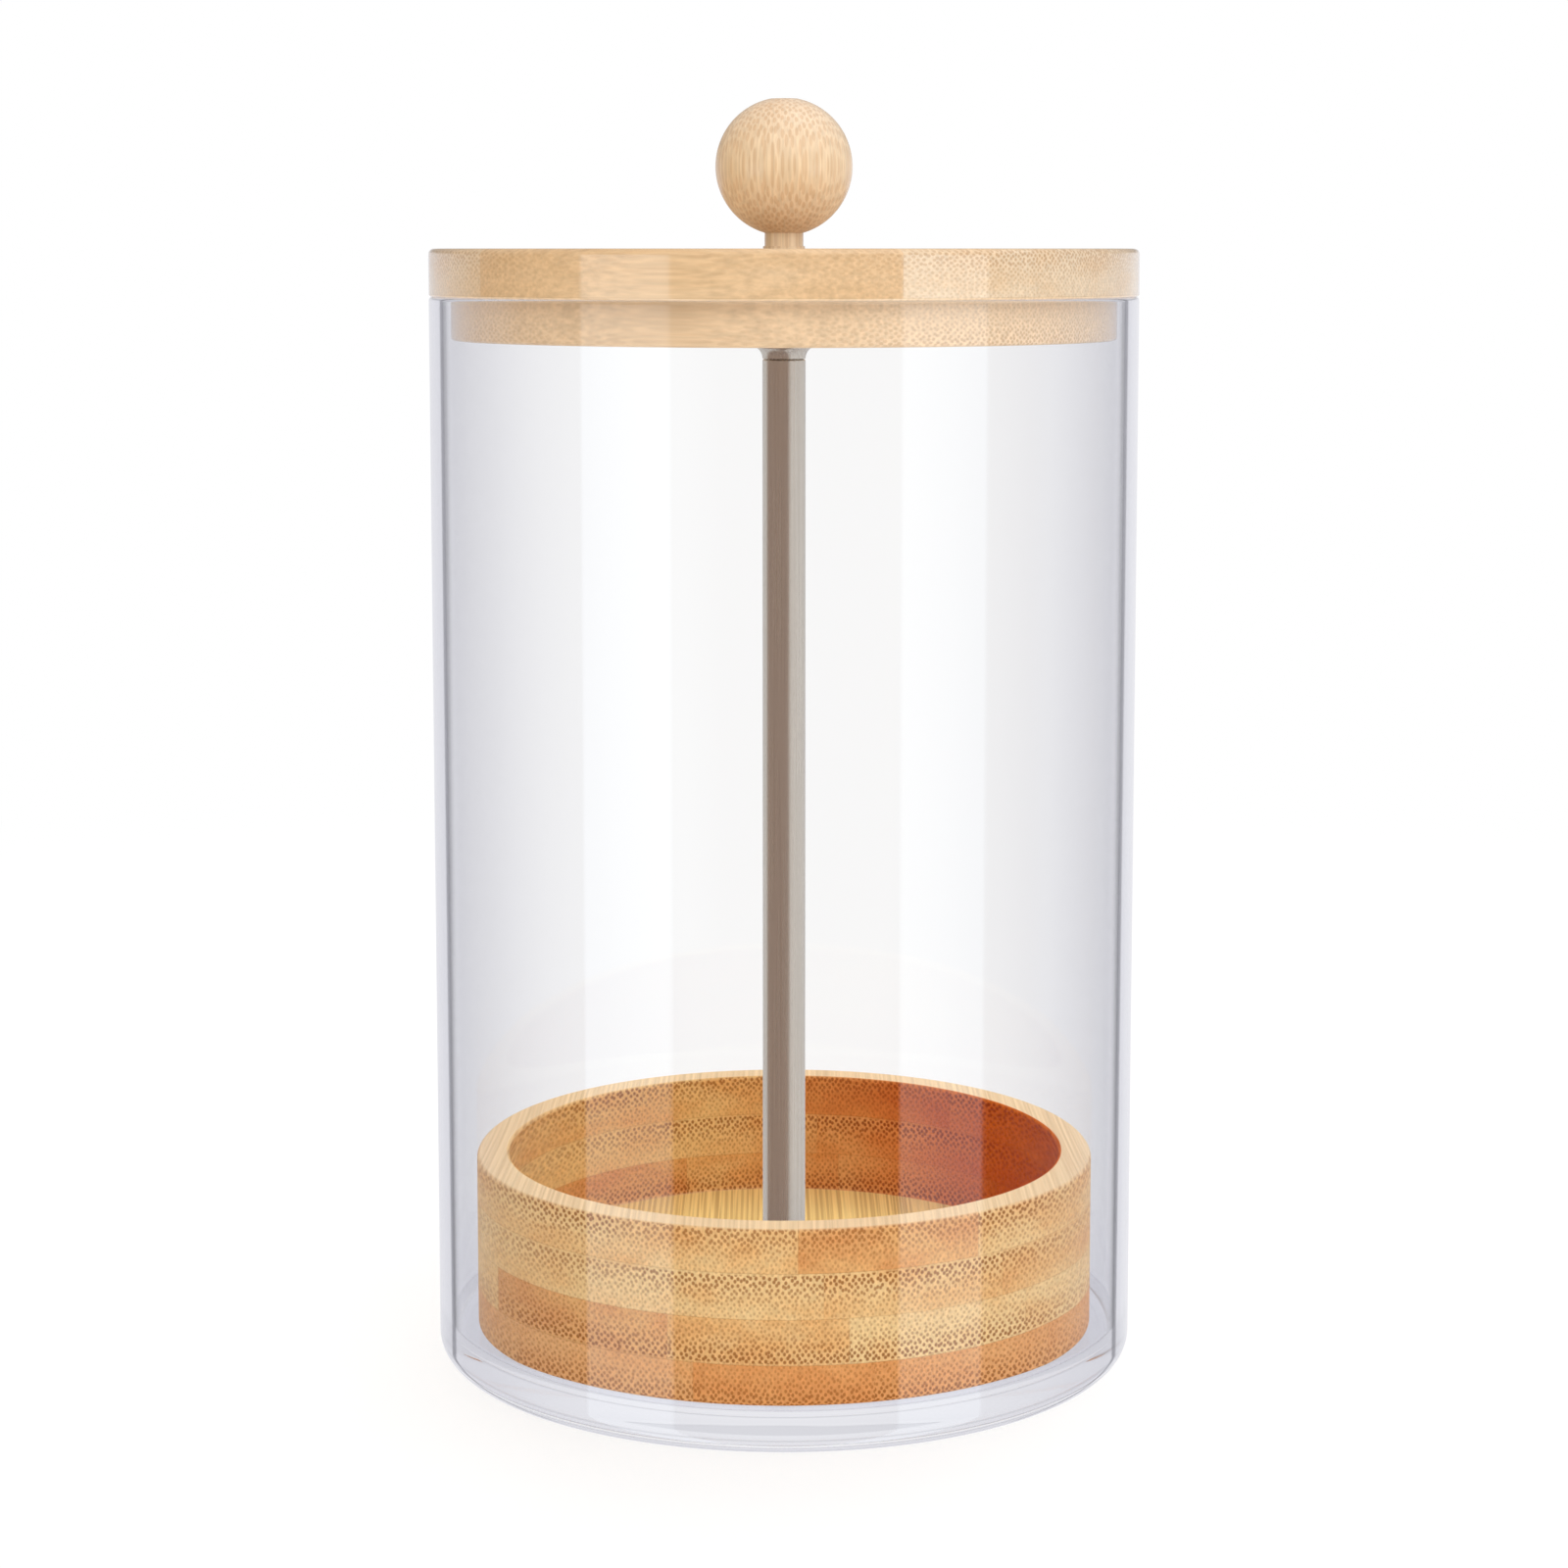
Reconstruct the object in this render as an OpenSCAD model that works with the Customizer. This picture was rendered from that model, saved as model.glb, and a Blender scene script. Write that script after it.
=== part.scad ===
// Straw dispenser: a clear glass jar closed by a bamboo lid. The knob lifts the lid, the rod
// and the bamboo cup out of the jar as one insert, so that straws standing in the cup fan out.
// Millimetres, +Z up. The origin is the middle of the jar's foot.

/* [Jar] */
// Outer diameter of the jar
jar_d = 150; // [120:1:200]
// Height of the jar from its foot to its rim
jar_h = 228; // [160:1:300]
// Thickness of the jar's wall
jar_wall = 2.8; // [2:0.1:5]
// Thickness of the jar's base
jar_base = 7; // [5:0.5:12]
// Radius of the heel, the outer edge of the foot
jar_heel_r = 5; // [2:0.5:8]
// Radius of the corner between wall and base inside the jar
jar_corner_r = 4; // [1:0.5:5]
// Rounding of both edges of the rim
jar_rim_r = 0.8; // [0.3:0.1:0.9]

/* [Lid] */
// Thickness of the lid's disc
lid_h = 10; // [6:0.5:16]
// Reach of the disc past the outside of the jar
lid_overhang = 0; // [0:0.5:6]
// Rounding of the disc's upper edge
lid_edge_r = 1.2; // [0.5:0.1:3]
// Rounding of the disc's lower edge
lid_under_r = 0.5; // [0.2:0.1:1.5]
// Depth of the plug that drops into the jar
plug_h = 9; // [5:0.5:16]
// Radial gap between the plug and the jar's wall
plug_gap = 1.7; // [0.5:0.1:4]
// Rounding of the plug's lower edge
plug_edge_r = 0.6; // [0.2:0.1:2]

/* [Knob] */
// Diameter of the ball
knob_d = 29; // [22:0.5:40]
// Diameter of the flat on top of the ball
knob_flat_d = 6; // [2:0.5:10]
// Diameter of the neck under the ball
neck_d = 8.2; // [7:0.1:12]
// Height of the neck
neck_h = 3.3; // [2:0.1:8]
// Reach of the bead at the neck's foot
bead_reach = 0.35; // [0.2:0.05:1]
// Height of that bead
bead_h = 0.5; // [0.3:0.1:1.2]

/* [Rod] */
// Diameter of the lift rod
rod_d = 9.2; // [8:0.1:14]
// Reach of the ferrule's flare past the rod
flare_reach = 1.15; // [0.5:0.05:3]
// Height of that flare
flare_h = 2.2; // [1.5:0.1:5]
// Height of the ferrule's collar, between its flare and the plug
collar_h = 2; // [0.5:0.1:4]
// Chamfer on both ends of the rod
rod_chamfer = 0.4; // [0.2:0.1:0.8]

/* [Cup] */
// Height of the cup
cup_h = 37; // [28:0.5:60]
// Radial gap between the cup and the jar's wall
cup_gap = 5.5; // [3:0.5:12]
// Thickness of the cup's wall
cup_wall = 7; // [4:0.5:12]
// Thickness of the cup's floor
cup_floor = 10; // [9:0.5:16]
// Height of the cup over the jar's base while the lid is shut
cup_clear = 0.5; // [0.3:0.1:3]
// Rounding of the cup's rim and foot
cup_edge_r = 0.8; // [0.3:0.1:2]
// Radius of the corner between the cup's wall and its floor
cup_corner_r = 0.8; // [0.3:0.1:3]
// Depth of the socket in the floor that takes the rod's end
socket_depth = 2; // [1:0.5:3]

/* [Fasteners] */
// Diameter of the hanger bolt that joins knob and rod
bolt_d = 4; // [3:0.5:5]
// Length of the hanger bolt inside the ball
bolt_in_ball = 14; // [8:0.5:18]
// Length of the hanger bolt inside the rod
bolt_in_rod = 12; // [8:0.5:20]
// Diameter of the screw that joins cup and rod
screw_d = 5; // [4:0.5:6]
// Length of the cup screw inside the rod
screw_in_rod = 12; // [8:0.5:20]
// Outer diameter of the washer under the cup screw
washer_d = 12; // [11:0.5:18]
// Thickness of the washer
washer_h = 1; // [0.5:0.1:2]
// Diameter of the cup screw's button head
head_d = 9.5; // [8:0.5:10.5]
// Height of the cup screw's button head
head_h = 2.7; // [2:0.1:3.5]
// Width across the flats of the hexagon socket in the screw's head
hex_flats = 3; // [2:0.5:4]
// Depth of the hexagon socket
hex_depth = 1.6; // [1:0.1:1.8]
// Depth of the screw's head inside the cup's underside
head_clear = 1.1; // [0.5:0.1:2]

/* [Clearances] */
// Radial clearance of a thread in its tapped hole
thread_gap = 0.05; // [0.02:0.01:0.1]
// Radial clearance of a bolt in a drilled hole, and of the rod and the washer in their recesses
slip_gap = 0.25; // [0.1:0.05:0.4]
// Spare depth at the bottom of a blind hole
blind_gap = 1.5; // [0.5:0.5:3]

/* [Hidden] */
$fn = 128;
over = 1;

// Radii
jar_r = jar_d / 2;
jar_inside_r = jar_r - jar_wall;
lid_r = jar_r + lid_overhang;
plug_r = jar_inside_r - plug_gap;
knob_r = knob_d / 2;
neck_r = neck_d / 2;
rod_r = rod_d / 2;
cup_r = jar_inside_r - cup_gap;
cup_inside_r = cup_r - cup_wall;
bolt_r = bolt_d / 2;
bolt_tapped_r = bolt_r + thread_gap;
bolt_drilled_r = bolt_r + slip_gap;
screw_r = screw_d / 2;
screw_tapped_r = screw_r + thread_gap;
screw_drilled_r = screw_r + slip_gap;
socket_r = rod_r + slip_gap;
recess_r = washer_d / 2 + slip_gap;

// Heights, from the foot up
cup_z = jar_base + cup_clear;
cup_top_z = cup_z + cup_h;
cup_floor_z = cup_z + cup_floor;
rod_z = cup_floor_z - socket_depth;
plug_z = jar_h - plug_h;
ferrule_z = plug_z - collar_h - flare_h;
lid_top_z = jar_h + lid_h;
ball_z = lid_top_z + neck_h;
knob_centre_z = ball_z + sqrt(pow(knob_r, 2) - pow(neck_r, 2));
knob_top_z = knob_centre_z + sqrt(pow(knob_r, 2) - pow(knob_flat_d / 2, 2));

// The recess under the cup takes the washer and the screw's head
recess_depth = washer_h + head_h + head_clear;
washer_z = cup_z + recess_depth - washer_h;

// The flare is an arc that leaves the rod's surface upright and reaches the collar's full width
flare_r = (pow(flare_reach, 2) + pow(flare_h, 2)) / (2 * flare_reach);

// The hanger bolt's wood-screw end tapers to a point over this length
bolt_point_h = bolt_d;
bolt_point_r = bolt_r / 4;

// What rounding an edge takes off the corner at (x, y), whose solid side lies towards (sx, sy)
module edge_cut(x, y, sx, sy, r) {
    translate([x, y])
        mirror([sx < 0 ? 1 : 0, 0])
            mirror([0, sy < 0 ? 1 : 0])
                difference() {
                    translate([-over, -over]) square(r + over);
                    translate([r, r]) circle(r);
                }
}

// Half section of a turned disc or ring, with its outer edges rounded
module turned_section(r_in, r_out, z_low, z_high, low_r, high_r) {
    difference() {
        translate([r_in, z_low]) square([r_out - r_in, z_high - z_low]);
        edge_cut(r_out, z_low, -1, 1, low_r);
        edge_cut(r_out, z_high, -1, -1, high_r);
    }
}

// Clear glass jar, one piece, with a rounded heel and a polished rim
module jar() {
    color("aliceblue", 0.35)
        rotate_extrude()
            difference() {
                turned_section(0, jar_r, 0, jar_h, jar_heel_r, jar_rim_r);
                difference() {
                    translate([0, jar_base]) square([jar_inside_r, jar_h]);
                    edge_cut(jar_inside_r, jar_base, -1, 1, jar_corner_r);
                }
                edge_cut(jar_inside_r, jar_h, 1, -1, jar_rim_r);
            }
}

// Bamboo lid, turned in one piece: a disc that sits on the rim and a plug inside the jar
module lid() {
    color("burlywood")
        rotate_extrude()
            union() {
                turned_section(bolt_drilled_r, lid_r, jar_h, lid_top_z, lid_under_r, lid_edge_r);
                difference() {
                    translate([bolt_drilled_r, plug_z])
                        square([plug_r - bolt_drilled_r, plug_h + lid_h / 2]);
                    edge_cut(plug_r, plug_z, -1, 1, plug_edge_r);
                }
            }
}

// Bamboo ball on a short neck, with a small flat on top and a blind pilot hole from below
module knob() {
    color("wheat")
        rotate_extrude()
            difference() {
                union() {
                    intersection() {
                        translate([0, knob_centre_z]) circle(knob_r);
                        translate([0, ball_z]) square([knob_r + over, knob_top_z - ball_z]);
                    }
                    translate([0, lid_top_z]) square([neck_r, knob_centre_z - lid_top_z]);
                    translate([0, lid_top_z]) square([neck_r + bead_reach, bead_h]);
                }
                translate([0, lid_top_z - over])
                    square([bolt_tapped_r, neck_h + bolt_in_ball + blind_gap + over]);
            }
}

// Steel hanger bolt: a machine thread in the rod, a pointed wood-screw thread in the knob
module hanger_bolt() {
    bolt_z = ferrule_z - bolt_in_rod;
    bolt_top_z = ball_z + bolt_in_ball;
    color("gray")
        union() {
            translate([0, 0, bolt_z])
                cylinder(h = bolt_top_z - bolt_point_h - bolt_z, r = bolt_r);
            translate([0, 0, bolt_top_z - bolt_point_h])
                cylinder(h = bolt_point_h, r1 = bolt_r, r2 = bolt_point_r);
        }
}

// Steel ferrule between the rod's upper end and the plug: a collar over a concave flare
module rod_ferrule() {
    color("silver")
        rotate_extrude()
            difference() {
                translate([bolt_drilled_r, ferrule_z])
                    square([rod_r + flare_reach - bolt_drilled_r, flare_h + collar_h]);
                translate([rod_r + flare_r, ferrule_z]) circle(flare_r);
            }
}

// Steel rod, chamfered and tapped at both ends
module lift_rod() {
    color("silver")
        rotate_extrude()
            difference() {
                polygon([
                    [0, rod_z],
                    [rod_r - rod_chamfer, rod_z],
                    [rod_r, rod_z + rod_chamfer],
                    [rod_r, ferrule_z - rod_chamfer],
                    [rod_r - rod_chamfer, ferrule_z],
                    [0, ferrule_z],
                ]);
                translate([0, rod_z - over])
                    square([screw_tapped_r, screw_in_rod + blind_gap + over]);
                translate([0, ferrule_z - bolt_in_rod - blind_gap])
                    square([bolt_tapped_r, bolt_in_rod + blind_gap + over]);
            }
}

// Bamboo cup with a thick floor, a socket for the rod and a recess below for the screw
module lift_cup() {
    color("peru")
        rotate_extrude()
            difference() {
                turned_section(screw_drilled_r, cup_r, cup_z, cup_top_z, cup_edge_r, cup_edge_r);
                difference() {
                    translate([0, cup_floor_z]) square([cup_inside_r, cup_h]);
                    edge_cut(cup_inside_r, cup_floor_z, -1, 1, cup_corner_r);
                }
                edge_cut(cup_inside_r, cup_top_z, 1, -1, cup_edge_r);
                translate([0, rod_z]) square([socket_r, socket_depth + over]);
                translate([0, cup_z - over]) square([recess_r, recess_depth + over]);
            }
}

// Steel washer at the top of the recess under the cup
module cup_washer() {
    color("lightgray")
        translate([0, 0, washer_z])
            difference() {
                cylinder(h = washer_h, d = washer_d);
                translate([0, 0, -over]) cylinder(h = washer_h + 2 * over, r = screw_drilled_r);
            }
}

// Steel button-head screw that holds the cup to the rod, with a hexagon socket in its head
module cup_screw() {
    head_z = washer_z - head_h;
    dome_r = (pow(head_d / 2, 2) + pow(head_h, 2)) / (2 * head_h);
    color("gray")
        difference() {
            union() {
                translate([0, 0, washer_z])
                    cylinder(h = rod_z + screw_in_rod - washer_z, r = screw_r);
                intersection() {
                    translate([0, 0, head_z + dome_r]) sphere(dome_r);
                    translate([0, 0, head_z]) cylinder(h = head_h, d = head_d);
                }
            }
            translate([0, 0, head_z - over])
                cylinder(h = hex_depth + over, d = hex_flats / cos(30), $fn = 6);
        }
}

jar();
lid();
knob();
hanger_bolt();
rod_ferrule();
lift_rod();
lift_cup();
cup_washer();
cup_screw();
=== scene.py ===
"""Looks of a straw dispenser: a clear glass jar with a bamboo insert that lifts out of it.

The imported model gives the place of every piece. Each sub-assembly turns its own smooth meshes from
half-sections, gives them their finish and lets them ride on the body that carries them.
"""

import logging
import math
from abc import ABC, abstractmethod
from collections.abc import Callable, Iterator, Mapping, Sequence
from dataclasses import dataclass, field
from enum import Enum
from functools import partial

import bmesh
import bpy
from mathutils import Euler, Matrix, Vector


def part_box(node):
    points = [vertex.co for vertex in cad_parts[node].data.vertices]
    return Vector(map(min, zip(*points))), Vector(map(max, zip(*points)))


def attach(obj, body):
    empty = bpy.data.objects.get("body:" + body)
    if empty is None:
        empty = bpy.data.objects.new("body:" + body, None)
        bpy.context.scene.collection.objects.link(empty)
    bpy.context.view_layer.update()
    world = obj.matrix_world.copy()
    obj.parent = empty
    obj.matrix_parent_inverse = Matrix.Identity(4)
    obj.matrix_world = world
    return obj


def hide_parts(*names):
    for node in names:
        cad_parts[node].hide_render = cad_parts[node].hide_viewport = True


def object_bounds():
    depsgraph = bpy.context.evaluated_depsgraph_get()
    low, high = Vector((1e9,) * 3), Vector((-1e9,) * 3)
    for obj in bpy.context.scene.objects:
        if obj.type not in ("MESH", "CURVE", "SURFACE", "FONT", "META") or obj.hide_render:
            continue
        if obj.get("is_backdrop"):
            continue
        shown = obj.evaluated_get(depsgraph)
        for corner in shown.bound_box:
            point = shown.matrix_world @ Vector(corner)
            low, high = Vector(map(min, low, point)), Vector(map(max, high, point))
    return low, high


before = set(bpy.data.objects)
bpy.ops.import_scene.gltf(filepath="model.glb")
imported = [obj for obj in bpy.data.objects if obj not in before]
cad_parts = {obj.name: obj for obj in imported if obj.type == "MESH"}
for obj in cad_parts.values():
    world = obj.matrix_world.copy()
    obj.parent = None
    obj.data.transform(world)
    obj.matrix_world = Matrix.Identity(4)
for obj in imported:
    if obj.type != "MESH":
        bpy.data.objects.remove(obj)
CAD_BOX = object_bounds()

LOG = logging.getLogger("straw_dispenser")

MM = 0.001
PER_MM = 1.0 / MM
FULL_TURN = 2.0 * math.pi

Piece, Node, Socket, Tree = bpy.types.Object, bpy.types.Node, bpy.types.NodeSocket, bpy.types.NodeTree
Value = Node | Socket | float | int | bool | Sequence[float] | bpy.types.Material
# Adds a node to a tree that is already chosen
Adder = Callable[..., Node]
Colour = tuple[float, float, float, float]
# Places and hex colours of a colour ramp
Stops = tuple[tuple[float, str], ...]


class Body(Enum):
    """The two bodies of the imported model."""

    JAR = "jar"
    INSERT = "insert"


class Slot(Enum):
    """The record's material slots."""

    GLASS = "clear_glass"
    LID = "lid_bamboo"
    KNOB = "knob_bamboo"
    CUP = "cup_bamboo"
    ROD = "rod_steel"
    FASTENER = "fastener_steel"


def linear(code: str) -> Colour:
    """Turns an sRGB hex colour into Blender's linear values.

    Args:
        code: Six hex digits, such as "e8c183".

    Returns:
        Linear red, green and blue, with an alpha of one.
    """
    shares = [int(code[i : i + 2], 16) / 255.0 for i in (0, 2, 4)]
    red, green, blue = (s / 12.92 if s <= 0.04045 else ((s + 0.055) / 1.055) ** 2.4 for s in shares)
    return red, green, blue, 1.0


WHITE, BLACK = linear("ffffff"), linear("000000")


def add_node(
    tree: Tree,
    kind: str,
    inputs: Mapping[str, Value] | Sequence[Value] = (),
    stops: Stops = (),
    **settings: object,
) -> Node:
    """Adds a node to a tree, with its settings, values and links.

    Args:
        tree: The tree that takes the node.
        kind: Blender's name for the type of node, without ShaderNode in front.
        inputs: Values by the names of inputs, or in the order of the inputs that the node shows. A socket
            is linked, and so is a node by the first output that it shows.
        stops: The places and colours of a colour ramp.
        settings: The node's own properties, such as its operation.

    Returns:
        The new node.
    """
    node = tree.nodes.new(kind if kind.startswith(("Geometry", "Node")) else f"ShaderNode{kind}")
    for name, value in settings.items():
        setattr(node, name, value)
    if isinstance(inputs, Mapping):
        pairs = [(node.inputs[name], value) for name, value in inputs.items()]
    else:
        pairs = zip([socket for socket in node.inputs if socket.enabled], inputs)
    for socket, value in pairs:
        if isinstance(value, Node):
            value = next(output for output in value.outputs if output.enabled)
        if isinstance(value, Socket):
            tree.links.new(value, socket)
        else:
            socket.default_value = value
    for number, (place, code) in enumerate(stops):
        elements = node.color_ramp.elements
        element = elements[number] if number < len(elements) else elements.new(place)
        element.position = place
        element.color = linear(code)
    return node


def start_tree(owner: bpy.types.Material | bpy.types.World) -> Adder:
    """Empties the node tree of a material or a world.

    Args:
        owner: The material or the world.

    Returns:
        What adds a node to the tree.
    """
    owner.use_nodes = True
    owner.node_tree.nodes.clear()
    return partial(add_node, owner.node_tree)


def add_object(name: str, data: bpy.types.ID) -> Piece:
    """Adds an object to the scene.

    Args:
        name: The object's name.
        data: Its mesh, light or camera.

    Returns:
        The new object.
    """
    added = bpy.data.objects.new(name, data)
    bpy.context.scene.collection.objects.link(added)
    return added


def from_axis(add: Adder, place: Value) -> Node:
    """Gives the distance of a place from the Z axis."""
    level = add("VectorMath", (place, (1.0, 1.0, 0.0)), operation="MULTIPLY")
    return add("VectorMath", (level,), operation="LENGTH")


@dataclass(frozen=True)
class Corner:
    """A corner of a half-section, in metres, and the radius that rounds it."""

    radius: float
    height: float
    rounding: float = 0.0


@dataclass(frozen=True)
class Arc:
    """A round stretch of a half-section, with angles counted from the outward radius towards +Z."""

    centre: tuple[float, float]
    size: float
    start: float
    end: float


@dataclass
class HalfSection:
    """The outline that a turned piece sweeps round the Z axis."""

    stretches: Sequence[Corner | Arc]
    closed: bool = False
    arc_step: float = math.radians(6.0)
    # Distance of the extra rows from a corner, and the most between rows on a straight run
    guard: float = 0.25 * MM
    row_step: float = math.inf

    def points(self) -> list[Vector]:
        """Works out the outline's points, with rounded corners and close rows beside them.

        Returns:
            Points of (radius, height), in order, with the first repeated at the end if closed.
        """
        corners = list(self._corners())
        outline = []
        for number, (corner, rounding) in enumerate(corners):
            if rounding:
                ahead = corners[(number + 1) % len(corners)][0]
                outline += self._rounded(corners[number - 1][0], corner, ahead, rounding)
            else:
                outline.append(corner)
        if self.closed:
            outline.append(outline[0].copy())
        return list(self._guarded(outline))

    def _corners(self) -> Iterator[tuple[Vector, float]]:
        """Works out each corner with its rounding, and arcs as corners that have none.

        Returns:
            The corners and their roundings, in the outline's order.
        """
        for stretch in self.stretches:
            if isinstance(stretch, Corner):
                yield Vector((stretch.radius, stretch.height)), stretch.rounding
                continue
            sweep = stretch.end - stretch.start
            steps = math.ceil(abs(sweep) / self.arc_step)
            for step in range(steps + 1):
                angle = stretch.start + sweep * step / steps
                reach = Vector((math.cos(angle), math.sin(angle))) * stretch.size
                yield Vector(stretch.centre) + reach, 0.0

    def _rounded(self, before: Vector, corner: Vector, after: Vector, radius: float) -> Iterator[Vector]:
        """Works out the arc that rounds one corner.

        Args:
            before: The outline's corner before this one.
            corner: The corner to round.
            after: The outline's corner after this one.
            radius: The arc's radius.

        Returns:
            The arc's points, in the outline's order.
        """
        back, on = (before - corner).normalized(), (after - corner).normalized()
        half = back.angle(on) / 2.0
        centre = corner + (back + on).normalized() * (radius / math.sin(half))
        first = (corner + back * (radius / math.tan(half)) - centre).normalized()
        last = (corner + on * (radius / math.tan(half)) - centre).normalized()
        steps = math.ceil(first.angle(last) / self.arc_step)
        for step in range(steps + 1):
            yield centre + first.slerp(last, step / steps) * radius

    def _guarded(self, outline: Sequence[Vector]) -> Iterator[Vector]:
        """Adds extra rows to an outline, so that smooth shading stays flat along straight runs.

        Args:
            outline: The outline's points.

        Returns:
            The points with the extra rows among them.
        """
        for start, end in zip(outline, outline[1:]):
            yield start
            length = (end - start).length
            if length > 4.0 * self.guard:
                inner = length - 2.0 * self.guard
                steps = max(1, math.ceil(inner / self.row_step))
                for step in range(steps + 1):
                    yield start.lerp(end, (self.guard + inner * step / steps) / length)
        yield outline[-1]


class PieceTree(ABC):
    """A Geometry Nodes tree with a geometry input, its sizes and a finish."""

    NAME: str
    SIZES: Mapping[str, str]
    SOURCE, FINISH, RESULT = "Source", "Finish", "Result"

    def __init__(self) -> None:
        """Builds the tree with its named inputs, ending in real geometry that has its material."""
        self.tree = bpy.data.node_groups.new(self.NAME, "GeometryNodeTree")
        inputs = {self.SOURCE: "NodeSocketGeometry", **self.SIZES, self.FINISH: "NodeSocketMaterial"}
        for label, kind in inputs.items():
            self.tree.interface.new_socket(label, in_out="INPUT", socket_type=kind)
        self.tree.interface.new_socket(self.RESULT, in_out="OUTPUT", socket_type="NodeSocketGeometry")
        add = partial(add_node, self.tree)
        given = add("NodeGroupInput").outputs
        real = add("GeometryNodeRealizeInstances", {"Geometry": self._fill(add, given)})
        dressed = add("GeometryNodeSetMaterial", {"Geometry": real, "Material": given[self.FINISH]})
        add("NodeGroupOutput", {self.RESULT: dressed})

    @abstractmethod
    def _fill(self, add: Adder, given: Mapping[str, Socket]) -> Node:
        """Adds the nodes that make the piece's geometry and returns the last, from the tree's inputs."""

    def run(self, piece: Piece, values: Mapping[str, Value]) -> None:
        """Runs the tree on an object and keeps the result as its plain mesh.

        Args:
            piece: The object, whose mesh is the tree's source.
            values: The value of each named input.
        """
        modifier = piece.modifiers.new(self.NAME, "NODES")
        modifier.node_group = self.tree
        for item in self.tree.interface.items_tree:
            if item.in_out == "INPUT" and item.name in values:
                modifier[item.identifier] = values[item.name]
        evaluated = piece.evaluated_get(bpy.context.evaluated_depsgraph_get())
        mesh = bpy.data.meshes.new_from_object(evaluated)
        piece.modifiers.remove(modifier)
        source = piece.data
        piece.data = mesh
        bpy.data.meshes.remove(source)
        mesh.name = piece.name


class TurningTree(PieceTree):
    """Geometry Nodes that sweep a half-section round the Z axis into a closed, smoothly shaded piece."""

    NAME = "turned_piece"
    FACETS, CREASE = "Facets", "Crease Angle"
    SIZES = {FACETS: "NodeSocketInt", CREASE: "NodeSocketFloat"}
    MERGE_DISTANCE = 0.0005 * MM

    def _fill(self, add: Adder, given: Mapping[str, Socket]) -> Node:
        """Adds a grid with a column for each facet and lays its columns round the axis.

        Args:
            add: Adds a node to the tree.
            given: The tree's inputs.

        Returns:
            The last node.
        """
        source, facets = given[self.SOURCE], given[self.FACETS]
        rows = add("GeometryNodeAttributeDomainSize", (source,), component="MESH")
        columns = add("Math", (facets, 1.0), operation="ADD")
        grid = add("GeometryNodeMeshGrid", {"Vertices X": columns, "Vertices Y": rows})
        index = add("GeometryNodeInputIndex")
        row = add("Math", (index, rows), operation="MODULO")
        share = add("Math", (index, rows), operation="DIVIDE")
        column = add("Math", (share,), operation="FLOOR")
        step = add("Math", (FULL_TURN, facets), operation="DIVIDE")
        angle = add("Math", (column, step), operation="MULTIPLY")
        position = add("GeometryNodeInputPosition")
        point = add("GeometryNodeSampleIndex", (source, position, row), data_type="FLOAT_VECTOR")
        swept = add("VectorRotate", {"Vector": point, "Angle": angle}, rotation_type="Z_AXIS")
        placed = add("GeometryNodeSetPosition", {"Geometry": grid, "Position": swept})
        merged = add("GeometryNodeMergeByDistance", {"Geometry": placed, "Distance": self.MERGE_DISTANCE})
        smooth = add("GeometryNodeSetShadeSmooth", {"Geometry": merged, "Shade Smooth": True})
        bend = add("GeometryNodeInputMeshEdgeAngle")
        crease = add("Math", (bend, given[self.CREASE]), operation="GREATER_THAN")
        return add("GeometryNodeSetShadeSmooth", (smooth, crease, False), domain="EDGE")


class ThreadTree(PieceTree):
    """Geometry Nodes that cut a screw thread into the upright shank of a turned piece."""

    NAME = "cut_thread"
    PITCH, DEPTH, LOW, HIGH = "Pitch", "Depth", "Low End", "High End"
    SIZES = dict.fromkeys((PITCH, DEPTH, LOW, HIGH), "NodeSocketFloat")

    def _fill(self, add: Adder, given: Mapping[str, Socket]) -> Node:
        """Adds the nodes that draw the shank's points inwards along a screw line.

        Args:
            add: Adds a node to the tree.
            given: The tree's inputs.

        Returns:
            The last node.
        """
        position = add("GeometryNodeInputPosition")
        place = add("SeparateXYZ", (position,)).outputs
        angle = add("Math", (place["Y"], place["X"]), operation="ARCTAN2")
        turn = add("Math", (angle, FULL_TURN), operation="DIVIDE")
        rise = add("Math", (place["Z"], given[self.PITCH]), operation="DIVIDE")
        phase = add("Math", (rise, turn), operation="SUBTRACT")
        flank = add("Math", (phase, 0.5), operation="PINGPONG")
        above = add("Math", (place["Z"], given[self.LOW]), operation="GREATER_THAN")
        below = add("Math", (place["Z"], given[self.HIGH]), operation="LESS_THAN")
        # The flank runs from 0 to 0.5, so twice the depth cuts to the full depth
        cut = add("Math", (given[self.DEPTH], -2.0), operation="MULTIPLY")
        for share in (flank, above, below):
            cut = add("Math", (share, cut), operation="MULTIPLY")
        level = add("VectorMath", (position, (1.0, 1.0, 0.0)), operation="MULTIPLY")
        outward = add("VectorMath", (level,), operation="NORMALIZE")
        shift = add("VectorMath", (outward, cut), operation="SCALE")
        return add("GeometryNodeSetPosition", {"Geometry": given[self.SOURCE], "Offset": shift})


class Finish(ABC):
    """A material that is made of nodes the first time a piece asks for it."""

    name: str

    def material(self) -> bpy.types.Material:
        """Makes the finish's material, but only once.

        Returns:
            The material.
        """
        made = bpy.data.materials.get(self.name)
        if made is None:
            made = bpy.data.materials.new(self.name)
            add = start_tree(made)
            add("OutputMaterial", {"Surface": self._surface(add)})
        return made

    @abstractmethod
    def _surface(self, add: Adder) -> Node:
        """Adds the finish's nodes to a material's tree and returns its surface."""


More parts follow.
